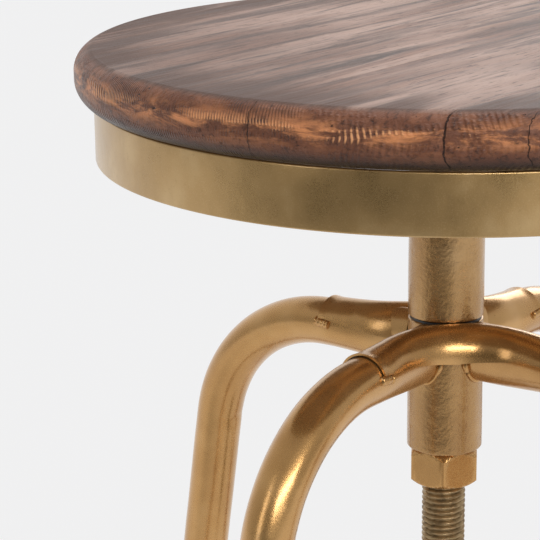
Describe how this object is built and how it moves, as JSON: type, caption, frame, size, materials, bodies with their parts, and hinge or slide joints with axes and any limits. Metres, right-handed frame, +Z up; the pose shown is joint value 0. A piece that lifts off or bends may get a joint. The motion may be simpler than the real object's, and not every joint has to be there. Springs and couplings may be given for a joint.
{
  "type": "adjustable swivel stool",
  "caption": "Round wooden stool seat on a lifting screw that turns in the nut of a bent tube frame, with a footrest ring and foot glides.",
  "frame": {"origin": "on the floor under the middle of the stool", "axes": "+Z up along the lifting screw; the legs stand on the diagonals of the X and Y axes; -Y is the front"},
  "size_m": [0.3646, 0.3646, 0.61],
  "materials": {
    "seat_wood": "dark walnut stain with a grey wash, satin wax",
    "brass_paint": "antique brass lacquer, satin gloss, fine orange peel",
    "screw_steel": "dark oiled steel",
    "zinc_steel": "bright zinc plate",
    "nylon": "black nylon",
    "glide_rubber": "black, matt"
  },
  "bodies": {
    "frame": {"hub_tube": "brass_paint", "lift_nut": "brass_paint", "nut_weld": "brass_paint", "guide_bush": "nylon", "leg_front_left": "brass_paint", "leg_front_right": "brass_paint", "leg_rear_right": "brass_paint", "leg_rear_left": "brass_paint", "foot_glide_front_left": "glide_rubber", "foot_glide_front_right": "glide_rubber", "foot_glide_rear_right": "glide_rubber", "foot_glide_rear_left": "glide_rubber", "front_saddle": "brass_paint", "rear_saddle": "brass_paint", "leg_welds": "brass_paint", "saddle_welds": "brass_paint", "footrest_ring": "brass_paint", "footrest_welds": "brass_paint"},
    "riser": {"stop_washer": "screw_steel"},
    "seat": {"seat_board_1": "seat_wood", "seat_board_2": "seat_wood", "seat_board_3": "seat_wood", "seat_board_4": "seat_wood", "seat_board_5": "seat_wood", "seat_band": "brass_paint", "long_cross_bar": "brass_paint", "half_cross_bar_front": "brass_paint", "half_cross_bar_rear": "brass_paint", "cross_bar_welds": "brass_paint", "centre_plate": "brass_paint", "wood_screws": "zinc_steel", "wood_screw_washers": "zinc_steel", "lift_screw": "screw_steel", "screw_sleeve": "brass_paint", "sleeve_weld": "brass_paint", "stop_collar": "screw_steel", "stop_pin": "zinc_steel"}
  },
  "joints": [
    {"name": "seat_lift", "type": "slide", "parent": "frame", "child": "riser", "axis": [0, 0, 1], "range_m": [0, 0.127]},
    {"name": "seat_swivel", "type": "hinge", "parent": "riser", "child": "seat", "pos_m": [0, 0, 0.5], "axis": [0, 0, 1], "range_deg": [0, 16200]}
  ],
  "couplings": [
    {"joint": "seat_lift", "follows": "seat_swivel", "m_per_rad": 0.00044917}
  ]
}
